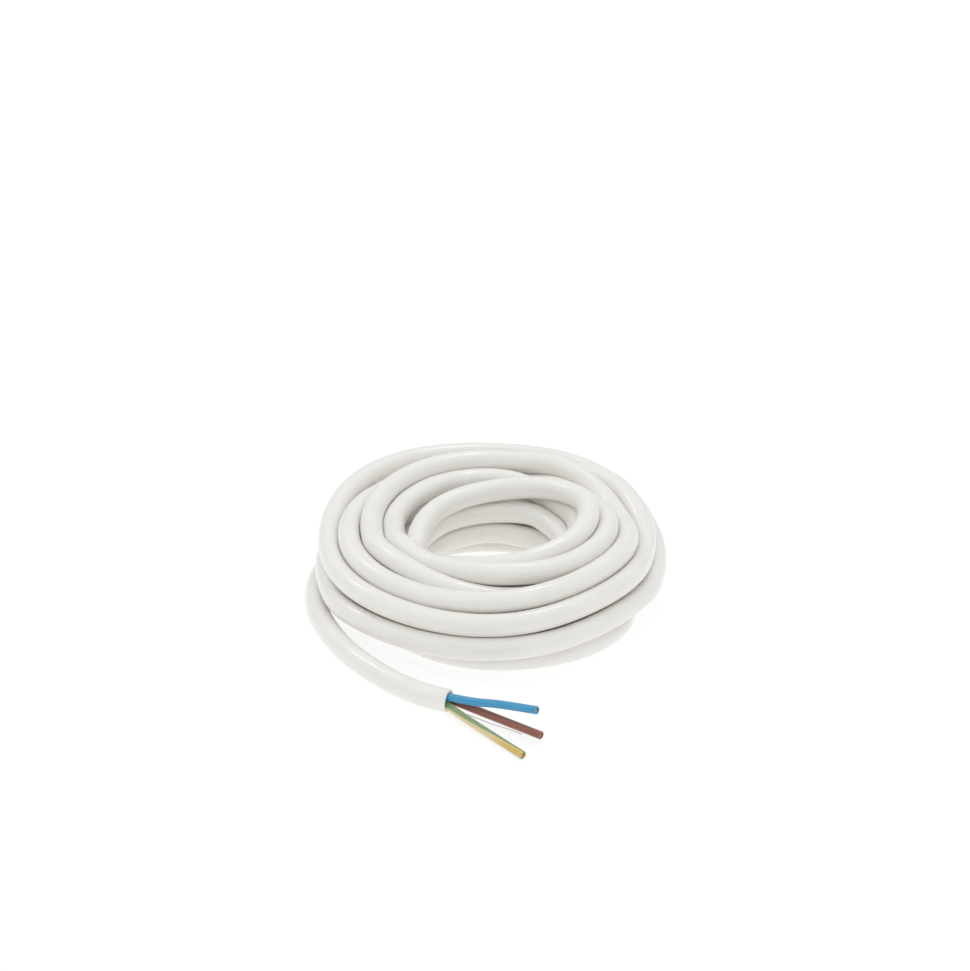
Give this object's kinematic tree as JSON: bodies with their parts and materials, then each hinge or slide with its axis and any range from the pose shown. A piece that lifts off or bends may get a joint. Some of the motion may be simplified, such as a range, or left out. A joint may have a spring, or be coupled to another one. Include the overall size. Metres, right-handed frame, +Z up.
{
  "type": "coil of electrical cable",
  "caption": "Flat-lying coil of round white flexible cable, its free end led round to the front and stripped to coloured insulated cores.",
  "frame": {"origin": "on the floor, under the middle of the whole object's footprint", "axes": "+Z up along the coil's axis, -Y towards the front, where the stripped end lies, +X to the right as seen from the front"},
  "size_m": [0.1386, 0.1908, 0.0342],
  "materials": {
    "sheath": "smooth glossy off-white PVC",
    "insulation_blue": "satin",
    "insulation_brown": "satin",
    "insulation_green_yellow": "satin, with a green stripe",
    "copper": "bright cut copper strands"
  },
  "bodies": {
    "root": {"cable_coil": "sheath", "cable_tail": "sheath", "core_blue": "insulation_blue", "core_brown": "insulation_brown", "core_green_yellow": "insulation_green_yellow", "conductor_blue": "copper", "conductor_brown": "copper", "conductor_green_yellow": "copper"}
  },
  "joints": []
}
